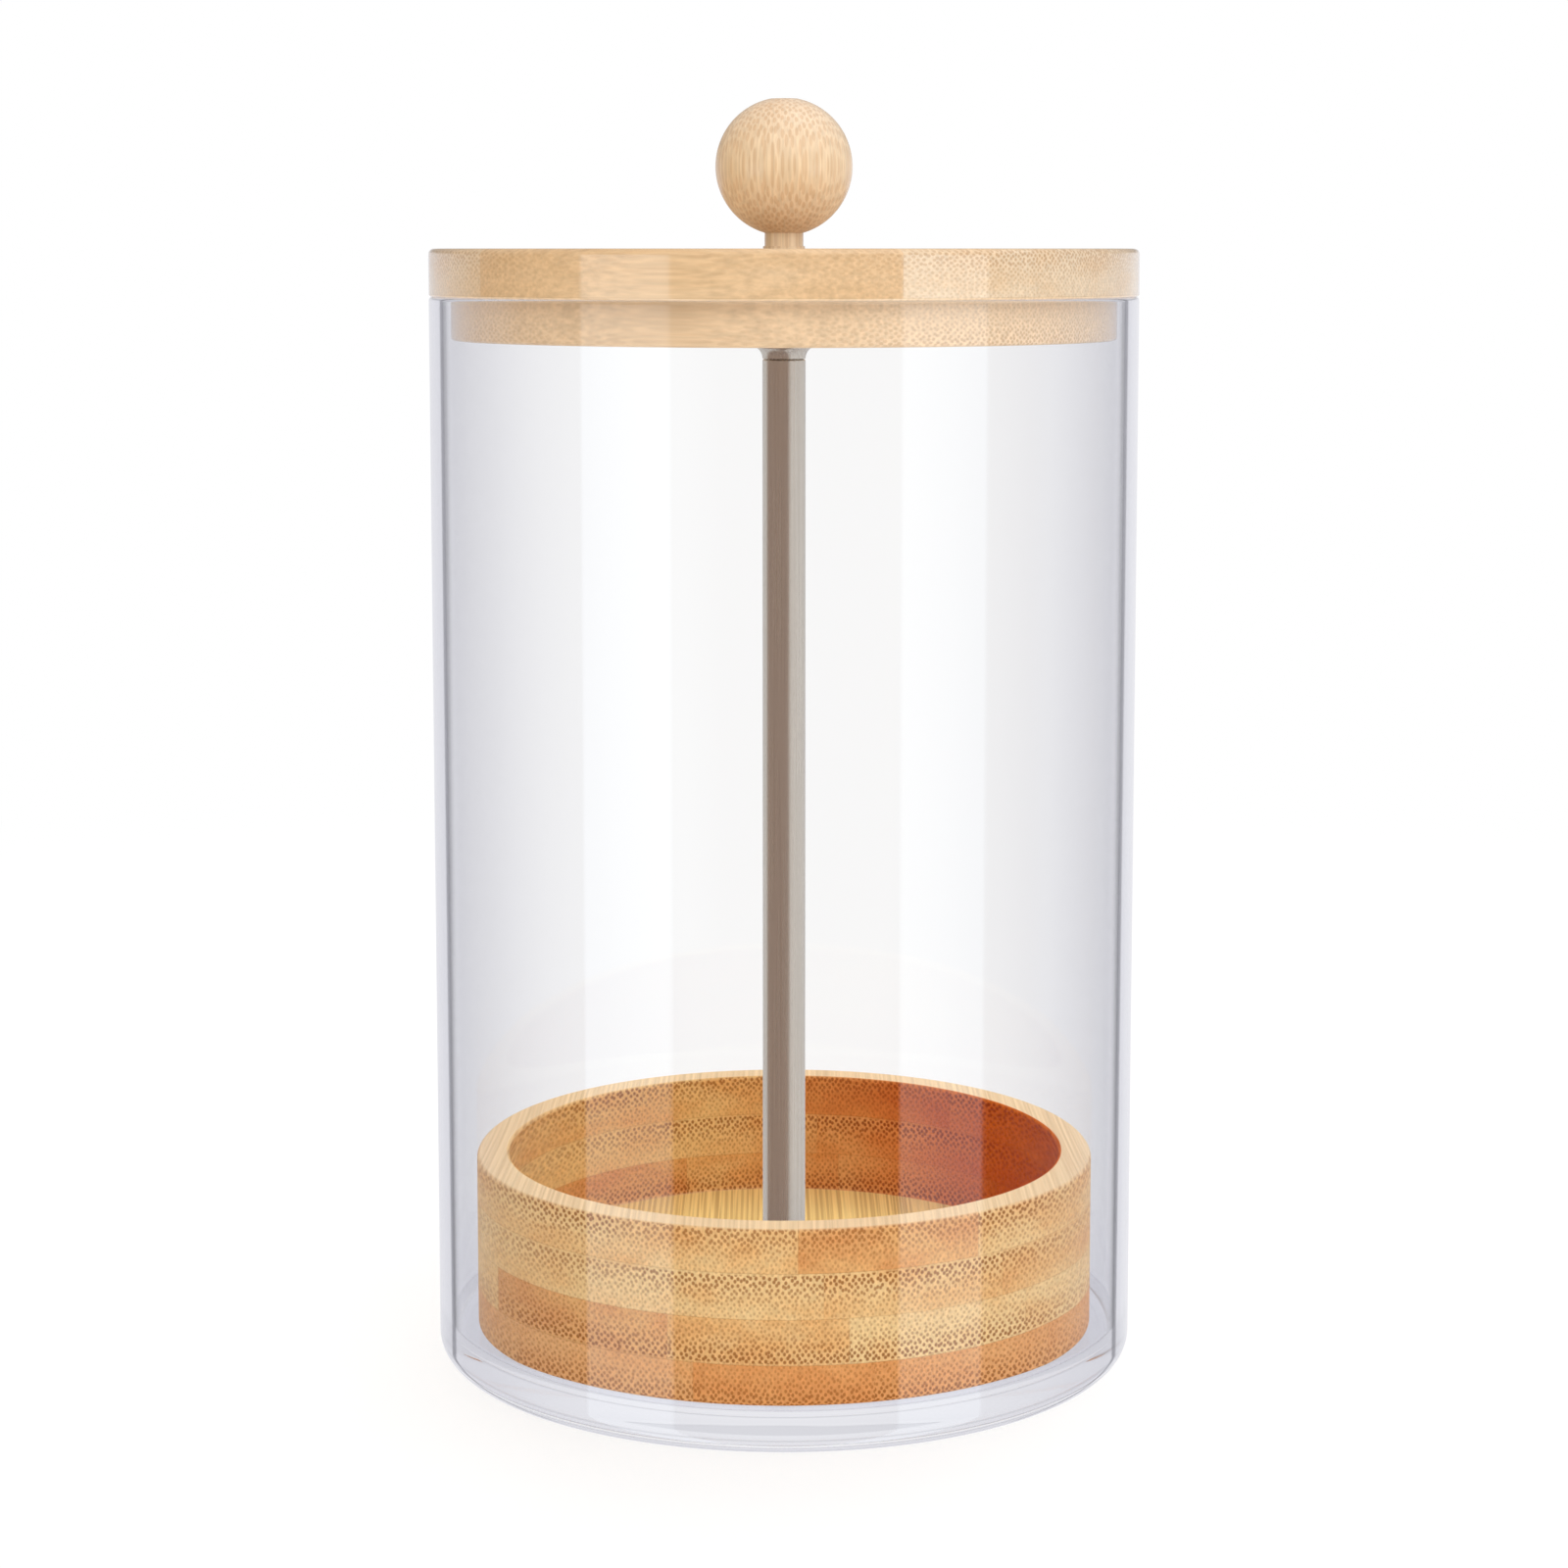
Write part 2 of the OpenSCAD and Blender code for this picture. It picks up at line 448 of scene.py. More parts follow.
@dataclass(frozen=True)
class ClearGlass(Finish):
    """Soda-lime glass, pressed and fire-polished: colourless face on, grey towards its edges.

    Seen at a glancing angle the wall takes a painted shade that stands in for the dim room it would
    mirror there, so the sides of the jar darken to a cool grey while its middle stays clear.
    """

    name: str = "soda_lime_glass_pressed_clear"
    ior: float = 1.5
    # Share of a face turned away from the eye, and the painted shade that tints the wall there
    edge_painted_shade: Stops = (
        (0.060, "ffffff"),
        (0.176, "f9f9fa"),
        (0.290, "f5f5f7"),
        (0.465, "ebebef"),
        (0.640, "e1e1e6"),
        (0.760, "dadae0"),
        (0.840, "eaeaef"),
        (0.960, "f2f2f6"),
        (1.000, "b4b4ba"),
    )
    # A painted dark line shows the wall's inner edge: what the outer face adds to it
    outer_painted_line: Stops = ((0.712, "ffffff"), (0.724, "66666c"), (0.750, "66666c"), (0.762, "ffffff"))
    # And the painted line that the inner face has there, from inside the glass
    inner_painted_line: Stops = ((0.244, "ffffff"), (0.250, "28282e"), (0.257, "28282e"), (0.266, "ffffff"))
    # A radius between the inner and the outer face
    mid_wall_mm: float = 73.6
    lamp_tint: str = "fcfcfd"
    # Rays that were mirrored this often run to and fro in the glass and would end black: the painted glow
    # they show
    trapped_mirrors: float = 5.0
    trapped_light: str = "dcdce2"
    ripple_across_mm: float = 26.0
    ripple_along_mm: float = 120.0
    ripple_depth_mm: float = 0.012

    # Tolerance for a count, which is a whole number
    COUNT_REACH = 0.5

    def _surface(self, add: Adder) -> Node:
        """Adds the glass, which lets the light of lamps through to what is inside.

        Args:
            add: Adds a node to the material's tree.

        Returns:
            The shader.
        """
        facing = add("LayerWeight", {"Blend": 0.5}).outputs["Facing"]
        ramps = (self.edge_painted_shade, self.outer_painted_line, self.inner_painted_line)
        edge, seam, line = (add("ValToRGB", (facing,), stops) for stops in ramps)
        place = add("TexCoord").outputs["Object"]
        inner_face = add("Math", (from_axis(add, place), self.mid_wall_mm * MM), operation="LESS_THAN")
        outer_face = add("Math", (1.0, inner_face), operation="SUBTRACT")
        # The wall's colour is painted shade: grey towards its edges, with a dark line at its inner edge
        seamed = add("Mix", (outer_face, edge, seam), data_type="RGBA", blend_type="MULTIPLY")
        within = add("NewGeometry").outputs["Backfacing"]
        met = add("Math", (inner_face, within), operation="MULTIPLY")
        tint = add("Mix", (met, seamed, line), data_type="RGBA")
        # The wall is so thin that both faces mirror the same place, so only the outer one does it
        mirror = add("Mix", (inner_face, WHITE, BLACK), data_type="RGBA")
        across, along = PER_MM / self.ripple_across_mm, PER_MM / self.ripple_along_mm
        stretched = add("Mapping", {"Vector": place, "Scale": (across, across, along)})
        ripple = add("TexNoise", {"Vector": stretched, "Scale": 1.0})
        depth = self.ripple_depth_mm * MM
        relief = add("Bump", {"Height": ripple, "Distance": depth, "Strength": 1.0})
        path = add("LightPath").outputs
        mirrors = (path["Glossy Depth"], self.trapped_mirrors, self.COUNT_REACH)
        trapped = add("Math", mirrors, operation="COMPARE")
        glass = add(
            "BsdfPrincipled",
            {
                "Base Color": tint,
                "Roughness": 0.0,
                "IOR": self.ior,
                "Transmission Weight": 1.0,
                "Specular Tint": mirror,
                "Normal": relief,
                "Emission Color": linear(self.trapped_light),
                "Emission Strength": trapped,
            },
        )
        clear = add("BsdfTransparent", {"Color": linear(self.lamp_tint)})
        # Lamps and light from matt surfaces shine straight through the thin wall
        lighting = add("Math", (path["Is Shadow Ray"], path["Diffuse Depth"]), operation="MAXIMUM")
        return add("MixShader", (lighting, glass, clear))


@dataclass(frozen=True)
class LayUp:
    """Where a point lies in a lay-up."""

    # Places counted in layers and in strips, and from the pith side of a strip to its skin side
    layer: Node
    strip: Node
    skin: Node
    # The strip's luck, as a colour and by its channels
    chance: Socket
    luck: Mapping[str, Socket]


@dataclass(frozen=True)
class LaminatedBamboo(Finish):
    """Bamboo strips glued in layers, turned and sanded.

    Cut across, each strip shows the dark ends of its fibre bundles, which crowd towards the side that
    was the skin of the culm. Cut along, the same bundles show as fine brown lines. The pattern is a
    solid one, so every face of a piece shows the cut that it would really make.
    """

    name: str
    # Turns the fibres from the piece's own axes to Y, with the layers along Z
    turn: tuple[float, float, float]
    # Underside of the lowest layer along the turned Z axis, and the lay-up's sizes
    foot_mm: float
    layer_mm: float
    layers: int
    strip_mm: float
    # Shift of the strips from one layer to the next, as a share of their width
    stagger: float
    # Colours of a pale, a common and a warm strip, of the bundles and of the glue
    tones: tuple[str, str, str]
    bundle: str
    glue: str = "9a6a38"
    # Long grain: its colour, how far faces and edges of layers keep to it, and how strongly its lines show
    long_grain: str = "f6dcb2"
    face_paleness: float = 0.6
    edge_paleness: float = 0.6
    long_grain_contrast: float = 0.7
    # Depth of the line at a joint between strips
    joint: float = 0.25
    # Radius of a bore and its floor's height over the foot. Its wall gets a painted shade, faint all round
    # and deepening to orange on the right of the wall, which faces away from the light
    bore_mm: float = 0.0
    bore_floor_mm: float = 0.0
    bore_painted_shade: str = "fff8e4"
    bore_deep_painted_shade: str = "e68424"
    # Painted warm light on the bore's floor, as its walls would bounce it
    bore_floor_painted_light: str = "fade92"
    # The colour that the lowest layer leans to and how far, and how strongly the bundles show
    low_layer: str = "ffffff"
    low_share: float = 0.0
    contrast: float = 0.8
    # Pitch of the bundles along a row, and from row to row
    bundle_across_mm: float = 1.5
    bundle_through_mm: float = 0.95
    # Real fibres are finer than a pixel, so they are drawn this wide to show
    fibre_mm: float = 0.5
    fibre_length_mm: float = 45.0
    sway_mm: float = 0.8
    roughness: float = 0.42
    gloss: float = 0.5
    lacquer: float = 0.0
    lacquer_roughness: float = 0.12
    lacquer_ior: float = 1.5
    seed: float = 0.0

    FIBRES = Vector((0.0, 1.0, 0.0))
    LAYERS = Vector((0.0, 0.0, 1.0))
    # Slow waves across, along and through the strips, in each millimetre: of the fibres and of the tone
    SWAY = (0.04, 0.008, 0.04)
    DRIFT = (0.09, 0.015, 0.16)
    # What a strip's luck adds to its tone, and where the common tone lies
    LUCK = 0.7
    COMMON = 0.45
    # Moves the bundles of each strip by its luck, in millimetres, so that no two strips are alike
    SHUFFLE_MM = (310.0, 0.0, 170.0)
    # Radius of a bundle on the pith side and the skin side, as a share of the pitch, its soft edge and
    # how far it strays from its place in the row
    BUNDLE_SIZES = (0.27, 0.38)
    BUNDLE_EDGE = 0.08
    BUNDLE_STRAY = 0.5
    # From where to where in a strip the bundles darken towards the skin, and from what to what. The
    # outermost skin is planed off before gluing, so they fade again there
    DARKNESS = (0.1, 0.95, 0.42, 1.0)
    PLANED = (0.94, 0.97, 1.0, 0.3)
    # How strongly the bundles of the palest and the darkest strip show
    KINDS = (0.65, 1.0)
    # From where to where a face that turns to the fibres changes from long grain to end grain
    CUT_ACROSS = (0.3, 0.8)
    # The usual range of the fibres' noise, and how dark and pale it makes the ground
    FIBRE_RANGE = (0.3, 0.7)
    FIBRE_SHADES = (0.86, 1.08)
    # Half width of the glue lines between layers and between strips, and the depth of the first
    LAYER_LINE_MM = 0.14
    STRIP_LINE_MM = 0.10
    LAYER_LINE = 0.34
    # How far the bore's wall and floor reach past their sizes, and where the painted shade starts to deepen
    WALL_REACH_MM = 0.6
    FLOOR_REACH_MM = 0.4
    PAINTED_SHADE_START = -0.4
    # How much smoother and rougher than the mean the fibres are, and how deep they stand
    SMOOTHER, ROUGHER = 0.06, 0.08
    RELIEF_MM = 0.05
    RELIEF_SHARE = 0.4

    def _surface(self, add: Adder) -> Node:
        """Adds the bamboo: its lay-up, its bundles and fibres, and the sanded surface.

        Args:
            add: Adds a node to the material's tree.

        Returns:
            The shader.
        """
        laid = add(
            "Mapping",
            {
                "Vector": add("TexCoord").outputs["Object"],
                "Location": (0.0, 0.0, -self.foot_mm),
                "Rotation": self.turn,
                "Scale": (PER_MM, PER_MM, PER_MM),
            },
        )
        grown = self._swaying(add, laid)
        lay_up = self._lay_up(add, laid)
        end_grain = self._facing(add, self.FIBRES)
        bundles = self._bundles(add, grown, lay_up, end_grain)
        fibres = self._fibres(add, grown)
        colour = self._colour(add, laid, lay_up, end_grain, bundles, fibres)
        if self.bore_mm:
            colour = self._paint_bore_shade(add, laid, colour)
        return self._sanded(add, colour, bundles, fibres)

    def _paint_bore_shade(self, add: Adder, laid: Node, colour: Node) -> Node:
        """Paints shade into the bore's wall: faint all round, and deep orange towards its right.

        Args:
            add: Adds a node to the material's tree.
            laid: Coordinates in millimetres along the lay-up.
            colour: The bamboo's colour before the painted shade.

        Returns:
            The colour.
        """
        radius = from_axis(add, laid)
        upright = add("Math", (radius, self.bore_mm, self.WALL_REACH_MM), operation="COMPARE")
        place = add("SeparateXYZ", (laid,)).outputs
        above = add("Math", (place["Z"], self.bore_floor_mm), operation="GREATER_THAN")
        wall = add("Math", (upright, above), operation="MULTIPLY")
        # Painted shade: the right of the bore's wall faces away from the light, so it is darkest there
        start, end = self.PAINTED_SHADE_START * self.bore_mm, self.bore_mm
        shaded_side = add("MapRange", (place["X"], start, end), interpolation_type="SMOOTHSTEP")
        oil = add("Mix", (shaded_side, linear(self.bore_painted_shade), linear(self.bore_deep_painted_shade)), data_type="RGBA")
        return add("Mix", (wall, colour, oil), data_type="RGBA", blend_type="MULTIPLY")

    def _long_grain_colour(self, add: Adder, laid: Node) -> Node | Colour:
        """Gives the colour of long grain, with the floor of a bore golden from painted bounce light.

        Args:
            add: Adds a node to the material's tree.
            laid: Coordinates in millimetres along the lay-up.

        Returns:
            The colour.
        """
        if not self.bore_mm:
            return linear(self.long_grain)
        reach = self.bore_mm - self.WALL_REACH_MM
        within = add("Math", (from_axis(add, laid), reach), operation="LESS_THAN")
        height = add("SeparateXYZ", (laid,)).outputs["Z"]
        at_floor = add("Math", (height, self.bore_floor_mm, self.FLOOR_REACH_MM), operation="COMPARE")
        floor = add("Math", (at_floor, within), operation="MULTIPLY")
        return add("Mix", (floor, linear(self.long_grain), linear(self.bore_floor_painted_light)), data_type="RGBA")

    def _facing(self, add: Adder, axis: Vector) -> Node:
        """Tells how squarely the surface faces along an axis of the lay-up.

        Args:
            add: Adds a node to the material's tree.
            axis: The axis of the fibres or of the layers.

        Returns:
            A value of one where the surface cuts straight across the axis and zero where it runs along it.
        """
        normal = add("TexCoord").outputs["Normal"]
        own = Euler(self.turn).to_matrix().inverted() @ axis
        facing = add("VectorMath", (normal, own), operation="DOT_PRODUCT")
        return add("Math", (facing,), operation="ABSOLUTE")

    def _swaying(self, add: Adder, laid: Node) -> Node:
        """Bends straight fibre coordinates a little, as fibres grow.

        Args:
            add: Adds a node to the material's tree.
            laid: Coordinates in millimetres along the lay-up.

        Returns:
            The bent coordinates.
        """
        slow = add("VectorMath", (laid, self.SWAY), operation="MULTIPLY")
        drift = add("TexNoise", {"Vector": slow, "Scale": 1.0, "Detail": 1.0}).outputs["Color"]
        middle = add("VectorMath", (drift, (0.5, 0.5, 0.5)), operation="SUBTRACT")
        reach = 2.0 * self.sway_mm
        return add("VectorMath", (middle, (reach, 0.0, reach), laid), operation="MULTIPLY_ADD")

    def _lay_up(self, add: Adder, laid: Node) -> LayUp:
        """Divides the lay-up into layers and strips.

        Args:
            add: Adds a node to the material's tree.
            laid: Coordinates in millimetres along the lay-up.

        Returns:
            The places of points in the lay-up.
        """
        place = add("SeparateXYZ", (laid,)).outputs
        layer = add("Math", (place["Z"], self.layer_mm), operation="DIVIDE")
        layer_number = add("Math", (layer,), operation="FLOOR")
        across = add("Math", (place["X"], self.strip_mm), operation="DIVIDE")
        centred = add("Math", (across, 0.5), operation="ADD")
        # Joints between strips are staggered from layer to layer
        strip = add("Math", (layer_number, self.stagger, centred), operation="MULTIPLY_ADD")
        strip_number = add("Math", (strip,), operation="FLOOR")
        address = add("CombineXYZ", (strip_number, layer_number, self.seed))
        chance = add("TexWhiteNoise", (address,)).outputs["Color"]
        # The skin side of each strip faces away from the middle of the lay-up
        low_half = add("Math", (layer, self.layers / 2.0), operation="LESS_THAN")
        depth = add("Math", (layer,), operation="FRACT")
        turned = add("Math", (low_half, depth), operation="SUBTRACT")
        skin = add("Math", (turned,), operation="ABSOLUTE")
        luck = add("SeparateColor", (chance,)).outputs
        return LayUp(layer, strip, skin, chance, luck)

    def _bundles(self, add: Adder, grown: Node, lay_up: LayUp, end_grain: Node) -> Node:
        """Draws the fibre bundles, larger and darker towards the skin side of each strip.

        Args:
            add: Adds a node to the material's tree.
            grown: Bent coordinates in millimetres.
            lay_up: The places of points in the lay-up.
            end_grain: How squarely the surface cuts the fibres.

        Returns:
            A value of one inside a dark bundle and zero between bundles.
        """
        own = add("VectorMath", (lay_up.chance, self.SHUFFLE_MM, grown), operation="MULTIPLY_ADD")
        place = add("SeparateXYZ", (own,)).outputs
        cut = add("CombineXYZ", (place["X"], place["Z"]))
        # Square cells on their corner make rows that are staggered by half a pitch
        half_pitch, row = self.bundle_across_mm / 2.0, self.bundle_through_mm
        staggered = add(
            "Mapping",
            {
                "Vector": cut,
                "Rotation": (0.0, 0.0, math.radians(45.0)),
                "Scale": (math.sqrt(0.5) / half_pitch, math.sqrt(0.5) / row, 1.0),
            },
        )
        cells = add(
            "TexVoronoi",
            {"Vector": staggered, "Scale": 1.0, "Randomness": self.BUNDLE_STRAY},
            voronoi_dimensions="2D",
        )
        size = add("MapRange", (lay_up.skin, 0.0, 1.0, *self.BUNDLE_SIZES))
        inside = add("Math", (size, cells), operation="SUBTRACT")
        edge = self.BUNDLE_EDGE
        shown = add("MapRange", (inside, -edge, edge), interpolation_type="SMOOTHSTEP")
        darkness = add("MapRange", (lay_up.skin, *self.DARKNESS), interpolation_type="SMOOTHSTEP")
        planed = add("MapRange", (lay_up.skin, *self.PLANED))
        kind = add("MapRange", (lay_up.luck["Green"], 0.0, 1.0, *self.KINDS))
        shares = (*self.CUT_ACROSS, self.long_grain_contrast, 1.0)
        cut_across = add("MapRange", (end_grain, *shares), interpolation_type="SMOOTHSTEP")
        for share in (planed, kind, cut_across, shown):
            darkness = add("Math", (darkness, share), operation="MULTIPLY")
        return darkness

    def _fibres(self, add: Adder, grown: Node) -> Node:
        """Draws the fine fibres between the bundles.

        Args:
            add: Adds a node to the material's tree.
            grown: Bent coordinates in millimetres.

        Returns:
            A value about one half that varies across the fibres.
        """
        pitches = (self.fibre_mm, self.fibre_length_mm, 2.0 * self.fibre_mm)
        drawn = add("VectorMath", (grown, pitches), operation="DIVIDE")
        return add("TexNoise", {"Vector": drawn, "Scale": 1.0, "Detail": 2.0})

    def _colour(
        self, add: Adder, laid: Node, lay_up: LayUp, end_grain: Node, bundles: Node, fibres: Node
    ) -> Node:
        """Colours the strips, their fibres and bundles, and the glue between them.

        Args:
            add: Adds a node to the material's tree.
            laid: Coordinates in millimetres along the lay-up.
            lay_up: The places of points in the lay-up.
            end_grain: How squarely the surface cuts the fibres.
            bundles: The bundles' mask.
            fibres: The fibres' value.

        Returns:
            The colour.
        """
        broad = add("VectorMath", (laid, self.DRIFT), operation="MULTIPLY")
        cloud = add("TexNoise", {"Vector": broad, "Scale": 1.0, "Detail": 2.0})
        drift = add("Math", (cloud, 0.5), operation="SUBTRACT")
        tone = add("Math", (lay_up.luck["Red"], self.LUCK, drift), operation="MULTIPLY_ADD")
        pale, common, warm = self.tones
        ground = add("ValToRGB", (tone,), ((0.0, pale), (self.COMMON, common), (1.0, warm)))
        lowest = add("Math", (lay_up.layer, 1.0), operation="LESS_THAN")
        lean = add("Math", (lowest, self.low_share), operation="MULTIPLY")
        layered = add("Mix", (lean, ground, linear(self.low_layer)), data_type="RGBA")
        # End grain drinks more oil than long grain, so it is the warmer of the two
        upright = self._facing(add, self.LAYERS)
        paleness = add("MapRange", (upright, 0.0, 1.0, self.edge_paleness, self.face_paleness))
        soaked = add("MapRange", (end_grain, 0.0, 1.0, paleness, 0.0))
        oiled = add("Mix", (soaked, layered, self._long_grain_colour(add, laid)), data_type="RGBA")
        depth = add("MapRange", (fibres, *self.FIBRE_RANGE, *self.FIBRE_SHADES))
        fibred = add("VectorMath", (oiled, depth), operation="SCALE")
        strength = add("Math", (bundles, self.contrast), operation="MULTIPLY")
        spotted = add("Mix", (strength, fibred, linear(self.bundle)), data_type="RGBA")
        seams = []
        for place, width, line in (
            (lay_up.layer, self.LAYER_LINE_MM / self.layer_mm, self.LAYER_LINE),
            (lay_up.strip, self.STRIP_LINE_MM / self.strip_mm, self.joint),
        ):
            near = add("Math", (place, 0.5), operation="PINGPONG")
            seams.append(add("MapRange", (near, 0.0, width, line, 0.0)))
        joint = add("Math", seams, operation="MAXIMUM")
        return add("Mix", (joint, spotted, linear(self.glue)), data_type="RGBA")

    def _sanded(self, add: Adder, colour: Node, bundles: Node, fibres: Node) -> Node:
        """Adds the surface: bundles sink a little under the sandpaper, and lacquer lies over them.

        Args:
            add: Adds a node to the material's tree.
            colour: The colour.
            bundles: The bundles' mask.
            fibres: The fibres' value.

        Returns:
            The shader.
        """
        smooth, rough = self.roughness - self.SMOOTHER, self.roughness + self.ROUGHER
        dull = add("MapRange", (fibres, *self.FIBRE_RANGE, smooth, rough))
        height = add("Math", (fibres, bundles), operation="SUBTRACT")
        depth = self.RELIEF_MM * MM
        relief = add("Bump", {"Height": height, "Distance": depth, "Strength": self.RELIEF_SHARE})
        return add(
            "BsdfPrincipled",
            {
                "Base Color": colour,
                "Roughness": dull,
                "Normal": relief,
                "Specular IOR Level": self.gloss,
                "Coat Weight": self.lacquer,
                "Coat Roughness": self.lacquer_roughness,
                "Coat IOR": self.lacquer_ior,
            },
        )


@dataclass(frozen=True)
class DrawnSteel(Finish):
    """Steel bar pulled through a die: a soft sheen with fine lines along the bar."""

    name: str
    bright: str
    dim: str
    roughness: float = 0.3
    # The die's scratches are finer than a pixel, so they are drawn this wide to show
    line_mm: float = 0.45
    line_length_mm: float = 70.0

    # How far the lines vary the roughness, and how deep they are
    VARIATION = 0.06
    RELIEF_MM = 0.01
    RELIEF_SHARE = 0.3

    def _surface(self, add: Adder) -> Node:
        """Adds the metal with its lengthwise lines.

        Args:
            add: Adds a node to the material's tree.

        Returns:
            The shader.
        """
        place = add("TexCoord").outputs["Object"]
        across, along = PER_MM / self.line_mm, PER_MM / self.line_length_mm
        drawn = add("Mapping", {"Vector": place, "Scale": (across, across, along)})
        lines = add("TexNoise", {"Vector": drawn, "Scale": 1.0, "Detail": 3.0})
        colour = add("Mix", (lines, linear(self.dim), linear(self.bright)), data_type="RGBA")
        smooth, rough = self.roughness - self.VARIATION, self.roughness + self.VARIATION
        dull = add("MapRange", (lines, 0.0, 1.0, smooth, rough))
        depth = self.RELIEF_MM * MM
        relief = add("Bump", {"Height": lines, "Distance": depth, "Strength": self.RELIEF_SHARE})
        return add(
            "BsdfPrincipled",
            {"Base Color": colour, "Metallic": 1.0, "Roughness": dull, "Normal": relief},
        )


GLASS = ClearGlass()
# Oiled and left matt: warm end grain with dark bundles, and no mirror image
CUP_BAMBOO = LaminatedBamboo(
    name="bamboo_laminated_oiled",
    turn=(0.0, 0.0, 0.0),
    foot_mm=7.2,
    layer_mm=9.4,
    layers=4,
    strip_mm=36.0,
    stagger=0.141,
    tones=("e2c18a", "dba96d", "cc884f"),
    bundle="84481a",
    bundle_across_mm=1.25,
    bundle_through_mm=0.8,
    long_grain="e9d1ac",
    # The layer faces, such as the rim, are paler: partly their own long grain, partly painted light against
    # the lid's shade
    face_paleness=0.85,
    edge_paleness=0.25,
    long_grain_contrast=0.42,
    low_layer="d2864a",
    low_share=0.55,
    contrast=0.88,
    bore_mm=59.7,
    bore_floor_mm=10.3,
    roughness=0.55,
    gloss=0.0,
    seed=9784.0,
)
# Lacquered and polished: paler, with a clear mirror image of the lamps
LID_BAMBOO = LaminatedBamboo(
    name="bamboo_laminated_lacquered",
    turn=(0.0, 0.0, math.radians(-72.0)),
    foot_mm=218.7,
    layer_mm=9.8,
    layers=2,
    strip_mm=52.0,
    stagger=0.671,
    tones=("e2caaa", "ddb88c", "d4a670"),
    bundle="a8743f",
    # The plug is the lowest layer: its paler tone is painted light that lifts it out of the shade under the
    # disc
    low_layer="fadeb8",
    low_share=0.8,
    bundle_across_mm=1.0,
    bundle_through_mm=0.6,
    long_grain="debc90",
    long_grain_contrast=0.3,
    joint=0.1,
    contrast=0.55,
    roughness=0.38,
    lacquer=1.0,
    lacquer_roughness=0.05,
    lacquer_ior=1.62,
    seed=7528.0,
)
# Turned from one strip and lacquered thinly: pale, with a soft highlight
KNOB_BAMBOO = LaminatedBamboo(
    name="bamboo_turned_lacquered",
    turn=(math.radians(90.0), 0.0, 0.0),
    foot_mm=-20.0,
    layer_mm=40.0,
    layers=1,
    strip_mm=60.0,
    stagger=0.0,
    tones=("e8d0b4", "e0bf9c", "d8ae86"),
    bundle="bd8850",
    contrast=0.4,
    roughness=0.4,
    lacquer=0.6,
    lacquer_roughness=0.2,
    seed=11.0,
)
# Left as it came from the die: a satin grey, warmed by a painted reflection of the bamboo around it
ROD_STEEL = DrawnSteel(name="stainless_steel_drawn_satin", bright="dcd6ce", dim="c6beb6", roughness=0.26)
# Zinc plating over cut steel: a duller, bluish grey with short marks
FASTENER_STEEL = DrawnSteel(
    name="steel_zinc_plated", bright="cfd1d2", dim="aeb2b6", roughness=0.35, line_mm=0.8, line_length_mm=3.0
)

TURNING = TurningTree()
THREAD = ThreadTree()


@dataclass(frozen=True)
class Span:
    """The radius and the lowest and highest point of a CAD node that stands on the Z axis."""

    radius: float
    low: float
    high: float

    @classmethod
    def of(cls, node: str) -> "Span":
        """Reads a node's span, in metres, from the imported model."""
        low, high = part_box(node)
        return cls((high.x - low.x) / 2.0, low.z, high.z)


class Assembly(ABC):
    """A sub-assembly that builds its pieces and settles them on their bodies."""

    FACETS = 288
    CREASE = math.radians(32.0)

    @abstractmethod
    def build(self) -> list[Piece]:
        """Builds, dresses and settles the sub-assembly's pieces and returns them."""

    def turn(self, name: str, section: HalfSection, finish: Finish) -> Piece:
        """Turns a piece from its half-section.

        Args:
            name: The piece's name.
            section: Its half-section.
            finish: Its finish.

        Returns:
            The piece, with its place in its mesh.
        """
        points = section.points()
        mesh = bpy.data.meshes.new(name)
        edges = [(i, i + 1) for i in range(len(points) - 1)]
        mesh.from_pydata([(point.x, 0.0, point.y) for point in points], edges, [])
        piece = add_object(name, mesh)
        sizes = {TURNING.FACETS: self.FACETS, TURNING.CREASE: self.CREASE}
        TURNING.run(piece, {**sizes, TURNING.FINISH: finish.material()})
        self.face_outwards(piece)
        return piece

    @staticmethod
    def face_outwards(piece: Piece) -> None:
        """Points the faces of a closed piece outwards.

        Args:
            piece: The piece.
        """
        shell = bmesh.new()
        shell.from_mesh(piece.data)
        bmesh.ops.recalc_face_normals(shell, faces=shell.faces)
        shell.to_mesh(piece.data)
        shell.free()

    @staticmethod
    def settle(piece: Piece, body: Body, slot: Slot, node: str) -> Piece:
        """Puts a finished piece in a CAD node's place.

        Args:
            piece: The finished piece.
            body: The body that carries it.
            slot: The material slot that the piece stands for; not used.
            node: The CAD node that it stands for.

        Returns:
            The piece.
        """
        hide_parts(node)
        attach(piece, body.value)
        return piece


@dataclass
class Jar(Assembly):
    """The glass jar: a straight wall, a thick base and a rounded heel."""

    span: Span = field(default_factory=lambda: Span.of("jar"))
    wall: float = 2.8 * MM
    base: float = 7.0 * MM
    heel_radius: float = 5.0 * MM
    inner_heel_radius: float = 4.0 * MM
    rim_radius: float = 0.8 * MM

    def build(self) -> list[Piece]:
        """Turns the jar and settles it.

        Returns:
            The jar.
        """
        span, inner = self.span, self.span.radius - self.wall
        section = HalfSection(
            [
                Corner(0.0, span.low),
                Corner(span.radius, span.low, self.heel_radius),
                Corner(span.radius, span.high, self.rim_radius),
                Corner(inner, span.high, self.rim_radius),
                Corner(inner, span.low + self.base, self.inner_heel_radius),
                Corner(0.0, span.low + self.base),
            ]
        )
        piece = self.turn("glass_jar", section, GLASS)
        return [self.settle(piece, Body.JAR, Slot.GLASS, "jar")]


